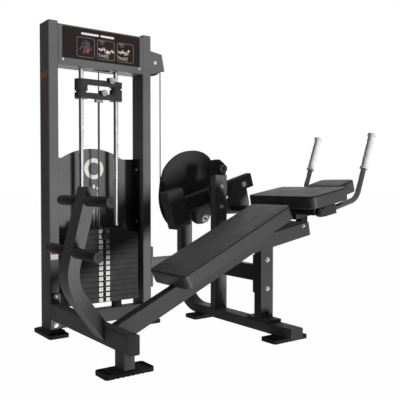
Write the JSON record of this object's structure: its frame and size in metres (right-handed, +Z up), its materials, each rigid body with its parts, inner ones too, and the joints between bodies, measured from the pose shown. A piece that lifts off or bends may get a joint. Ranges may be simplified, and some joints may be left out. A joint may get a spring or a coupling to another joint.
{
  "type": "ab crunch machine",
  "caption": "Selectorised abdominal crunch machine: weight-stack tower, inclined bench with foot rollers, and a swinging pad carriage with upright handles.",
  "frame": {"origin": "on the floor at the middle of the machine's footprint", "axes": "+X along the bench from the foot rollers to the handles, +Y from the bench to the weight tower, +Z up"},
  "size_m": [1.6738, 0.956, 1.545],
  "materials": {
    "frame_paint": "satin powder coat",
    "placard": "satin",
    "chrome": "polished",
    "rubber": "matte",
    "black_iron": "satin black paint",
    "dark_steel": "satin",
    "cable": "sheathed cable",
    "black_plastic": "matte",
    "vinyl": "grained vinyl",
    "board": "stained plywood",
    "bright_metal": "brushed",
    "white_plastic": "smooth",
    "grip": "ribbed, light silver"
  },
  "bodies": {
    "frame": {"left_upright": "frame_paint", "right_upright": "frame_paint", "header": "frame_paint", "cross_beam": "frame_paint", "shroud": "frame_paint", "pulley_bracket": "frame_paint", "base_beam": "frame_paint", "foot_post": "frame_paint", "bench_beam": "frame_paint", "support_leg": "frame_paint", "rear_frame": "frame_paint", "link_beam": "frame_paint", "cam_post": "frame_paint", "cross_brace": "frame_paint", "placard": "placard", "guide_rods": "chrome", "frame_bolts": "chrome", "pulley_axles": "chrome", "roller_axles": "chrome", "stack_bumpers": "rubber", "rubber_feet": "rubber", "rest_stop": "rubber", "weight_plates": "black_iron", "shaft_bearings": "black_iron", "main_cable": "cable", "end_caps": "black_plastic", "bench_pad": "vinyl", "bench_board": "board"},
    "stack": {"head_plate": "black_iron", "top_plate": "black_iron", "selector_stem": "chrome", "cable_fitting": "bright_metal", "stack_cable": "cable"},
    "carriage": {"pivot_shaft": "chrome", "lever_arm": "frame_paint", "counterweight": "frame_paint", "cam": "dark_steel", "cam_bumpers": "white_plastic", "link_plate": "frame_paint", "carriage_pins": "chrome", "cross_tube": "frame_paint", "handle_sockets": "frame_paint", "pad_spine": "frame_paint", "carriage_boards": "board", "upper_pad": "vinyl", "head_pad": "vinyl", "handles": "frame_paint", "grips": "grip", "cam_cable": "cable"},
    "selector_pin": {"selector_pin": "black_plastic"},
    "header_pulley": {"header_pulley": "black_plastic"},
    "outer_pulley": {"outer_pulley": "black_plastic"},
    "roller_1": {"roller_1": "rubber"},
    "roller_2": {"roller_2": "rubber"},
    "roller_3": {"roller_3": "rubber"},
    "roller_4": {"roller_4": "rubber"},
    "addon_upper": {"addon_upper": "black_iron"},
    "addon_lower": {"addon_lower": "black_iron"},
    "pull_upper": {"pull_upper": "bright_metal"},
    "pull_lower": {"pull_lower": "bright_metal"}
  },
  "joints": [
    {"name": "crunch_pivot", "type": "hinge", "parent": "frame", "child": "carriage", "pos_m": [0.21912, 0.355, 0.681], "axis": [0, -1, 0], "range_deg": [0, 40], "deforming": ["cam_cable"]},
    {"name": "stack_lift", "type": "slide", "parent": "frame", "child": "stack", "axis": [0, 0, 1], "range_m": [0, 0.163], "deforming": ["stack_cable"]},
    {"name": "header_pulley_spin", "type": "hinge", "parent": "frame", "child": "header_pulley", "pos_m": [-0.34437, 0.355, 1.42], "axis": [0, 1, 0], "range_deg": [0, 208]},
    {"name": "outer_pulley_spin", "type": "hinge", "parent": "frame", "child": "outer_pulley", "pos_m": [-0.07187, 0.355, 1.407], "axis": [0, 1, 0], "range_deg": [0, 162]},
    {"name": "selector_pull", "type": "slide", "parent": "stack", "child": "selector_pin", "axis": [0, -1, 0], "range_m": [0, 0.09]},
    {"name": "roller_1_spin", "type": "hinge", "parent": "frame", "child": "roller_1", "pos_m": [-0.74987, -0.3675, 0.68], "axis": [0, 1, 0], "continuous": true},
    {"name": "roller_2_spin", "type": "hinge", "parent": "frame", "child": "roller_2", "pos_m": [-0.74987, -0.0925, 0.68], "axis": [0, 1, 0], "continuous": true},
    {"name": "roller_3_spin", "type": "hinge", "parent": "frame", "child": "roller_3", "pos_m": [-0.80288, -0.3675, 0.475], "axis": [0, 1, 0], "continuous": true},
    {"name": "roller_4_spin", "type": "hinge", "parent": "frame", "child": "roller_4", "pos_m": [-0.80288, -0.0925, 0.475], "axis": [0, 1, 0], "continuous": true},
    {"name": "addon_upper_slide", "type": "slide", "parent": "frame", "child": "addon_upper", "axis": [0, 0, -1], "range_m": [0, 0.21]},
    {"name": "addon_lower_slide", "type": "slide", "parent": "addon_upper", "child": "addon_lower", "axis": [0, 0, -1], "range_m": [0, 0.21]},
    {"name": "pull_upper_slide", "type": "slide", "parent": "addon_upper", "child": "pull_upper", "axis": [0, -1, 0], "range_m": [0, 0.012], "stiffness_N_per_m": 400, "springref_m": -0.005},
    {"name": "pull_lower_slide", "type": "slide", "parent": "addon_lower", "child": "pull_lower", "axis": [0, -1, 0], "range_m": [0, 0.012], "stiffness_N_per_m": 400, "springref_m": -0.005}
  ],
  "couplings": [
    {"joint": "stack_lift", "follows": "crunch_pivot", "m_per_rad": 0.233},
    {"joint": "header_pulley_spin", "follows": "crunch_pivot", "ratio": 5.1778},
    {"joint": "outer_pulley_spin", "follows": "crunch_pivot", "ratio": 4.0172}
  ]
}
